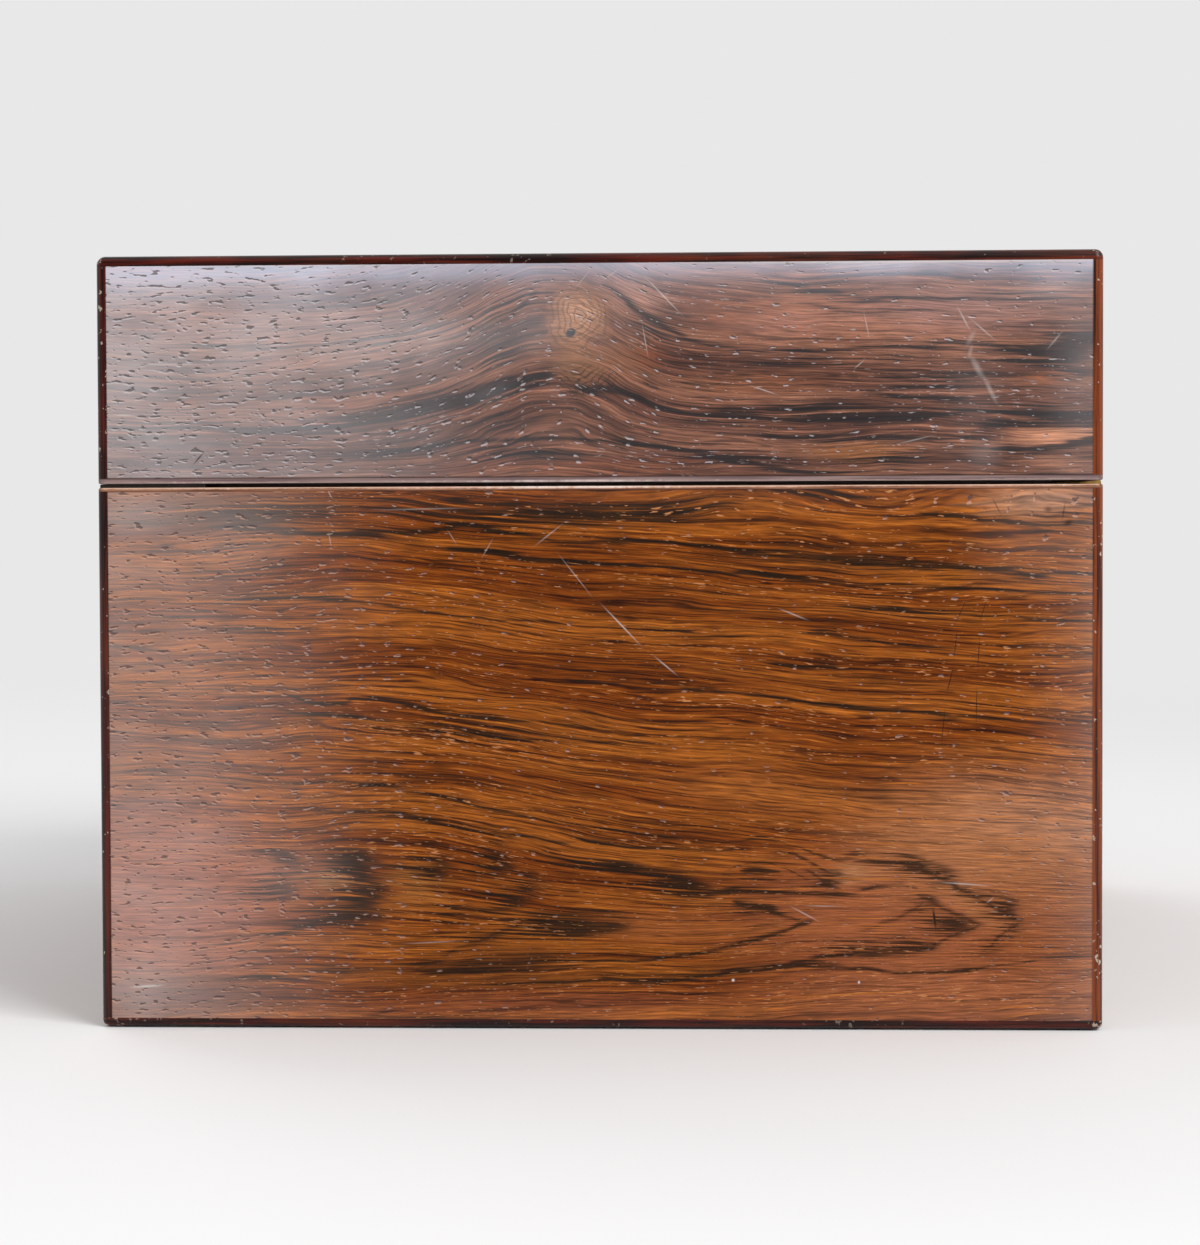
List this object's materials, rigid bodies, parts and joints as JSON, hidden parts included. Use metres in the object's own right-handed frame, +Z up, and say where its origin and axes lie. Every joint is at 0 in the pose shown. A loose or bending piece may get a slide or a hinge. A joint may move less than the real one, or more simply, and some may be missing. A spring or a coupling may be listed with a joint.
{
  "type": "vanity box",
  "caption": "Veneered rosewood vanity box with a hinged lid on stop hinges, a mirror in the lid, a box lock, and a lift-out tray over a deep lower compartment.",
  "frame": {"origin": "centre of the case's footprint on the surface that the box stands on", "axes": "+Z up; +X along the length; the lock is at the front, -Y, and the hinges at the back, +Y"},
  "size_m": [0.305, 0.2324, 0.177],
  "materials": {
    "rosewood_veneer": "worn shellac polish over wavy dark-veined veneer",
    "rosewood_edging": "polished dark red-brown strip",
    "solid_rosewood": "polished",
    "mahogany": "planed, unpolished",
    "pine": "planed",
    "brass": "aged satin",
    "steel": "blued spring steel",
    "velvet": "short cotton velvet",
    "baize": "napped wool cloth",
    "ribbon": "woven silk ribbon",
    "silvered_glass": "silvered glass",
    "gilt_leather": "gilt-tooled skiver"
  },
  "bodies": {
    "case": {"case_front_board": "mahogany", "case_back_board": "mahogany", "case_left_board": "mahogany", "case_right_board": "mahogany", "case_bottom_board": "mahogany", "base_cloth": "baize", "case_front_veneer": "rosewood_veneer", "case_back_veneer": "rosewood_veneer", "case_left_veneer": "rosewood_veneer", "case_right_veneer": "rosewood_veneer", "case_corner_beads": "rosewood_edging", "case_base_beads": "rosewood_edging", "case_rim_facings": "rosewood_edging", "case_liners": "solid_rosewood", "floor_pad": "velvet", "tray_ledges": "solid_rosewood", "lock_case": "brass", "lock_cap": "brass", "lock_selvedge": "brass", "lock_drill_pin": "steel", "lock_spring": "steel", "lock_screws": "brass", "escutcheon": "brass", "left_hinge_case_leaf": "brass", "right_hinge_case_leaf": "brass", "case_hinge_screws": "brass", "hinge_pins": "brass"},
    "lid": {"lid_front_board": "mahogany", "lid_back_board": "mahogany", "lid_left_board": "mahogany", "lid_right_board": "mahogany", "lid_top_board": "mahogany", "lid_top_veneer": "rosewood_veneer", "lid_front_veneer": "rosewood_veneer", "lid_back_veneer": "rosewood_veneer", "lid_left_veneer": "rosewood_veneer", "lid_right_veneer": "rosewood_veneer", "lid_corner_beads": "rosewood_edging", "lid_top_beads": "rosewood_edging", "lid_rim_facings": "rosewood_edging", "link_plate": "brass", "link_plate_screws": "brass", "mirror_backing": "pine", "mirror_glass": "silvered_glass", "mirror_slip": "gilt_leather", "mirror_pad": "velvet", "lid_side_linings": "velvet", "left_hinge_lid_leaf": "brass", "right_hinge_lid_leaf": "brass", "lid_hinge_screws": "brass"},
    "tray": {"tray_floor": "mahogany", "tray_walls": "solid_rosewood", "tray_dividers": "solid_rosewood", "tray_pads": "velvet", "ring_rolls": "velvet", "tray_pulls": "ribbon"},
    "bolt": {"lock_bolt": "brass"}
  },
  "joints": [
    {"name": "lid_hinge", "type": "hinge", "parent": "case", "child": "lid", "pos_m": [0, 0.1151, 0.12455], "axis": [-1, 0, 0], "range_deg": [0, 97]},
    {"name": "tray_lift", "type": "slide", "parent": "case", "child": "tray", "axis": [0, 0, 1], "range_m": [0, 0.034]},
    {"name": "bolt_slide", "type": "slide", "parent": "case", "child": "bolt", "axis": [1, 0, 0], "range_m": [0, 0.005]}
  ]
}
